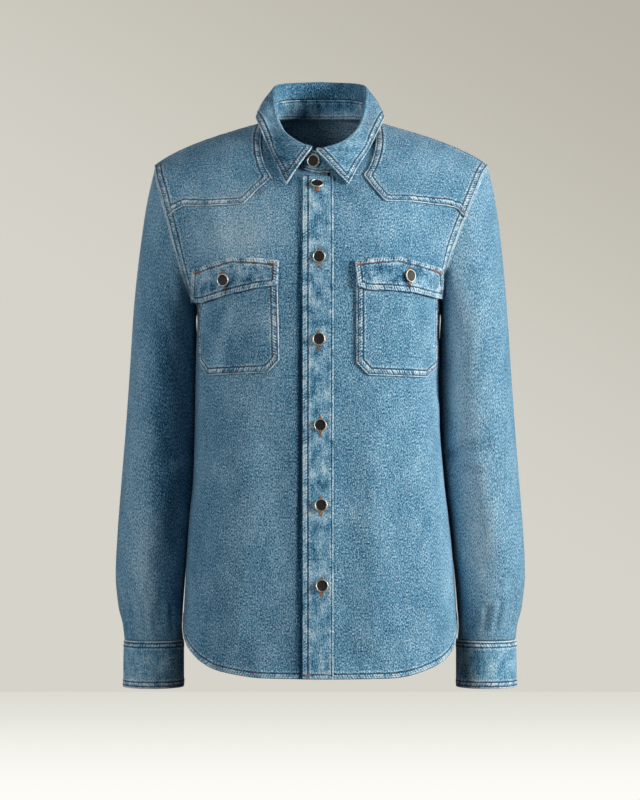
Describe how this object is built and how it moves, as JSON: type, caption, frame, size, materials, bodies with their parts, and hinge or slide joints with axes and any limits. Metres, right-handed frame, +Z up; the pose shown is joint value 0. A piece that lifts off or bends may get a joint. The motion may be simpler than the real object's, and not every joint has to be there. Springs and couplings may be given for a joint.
{
  "type": "denim shirt",
  "caption": "Long-sleeved denim shirt, hollow and filled out as worn, with a pointed collar, front yokes, flapped chest pockets and a buttoned placket.",
  "frame": {"origin": "middle of the neck opening, level with the seam of the collar at the side and back of the neck, where the wearer holds the shirt up", "axes": "+Z up along the body, -Y out of the buttoned front, +X to the wearer's left"},
  "size_m": [0.493, 0.2332, 0.732],
  "materials": {
    "denim": "washed mid-blue denim twill",
    "denim_dark": "washed denim of the doubled bands, mottled",
    "denim_pale": "washed light-blue denim twill",
    "button": "dark enamel face in a pale metal rim"
  },
  "bodies": {
    "root": {"front_right": "denim", "front_left": "denim", "back": "denim", "sleeve_right": "denim", "sleeve_left": "denim", "collar_leaf": "denim", "pocket_right": "denim", "pocket_left": "denim", "placket": "denim_dark", "collar_stand": "denim_dark", "cuff_right": "denim_dark", "cuff_left": "denim_dark", "flap_right": "denim_dark", "flap_left": "denim_dark", "yoke_right": "denim_pale", "yoke_left": "denim_pale", "sleeve_strip_right": "denim_pale", "sleeve_strip_left": "denim_pale", "button_neck": "button", "button_1": "button", "button_2": "button", "button_3": "button", "button_4": "button", "button_5": "button", "button_6": "button", "button_flap_right": "button", "button_flap_left": "button", "button_cuff_right": "button", "button_cuff_left": "button"}
  },
  "joints": []
}
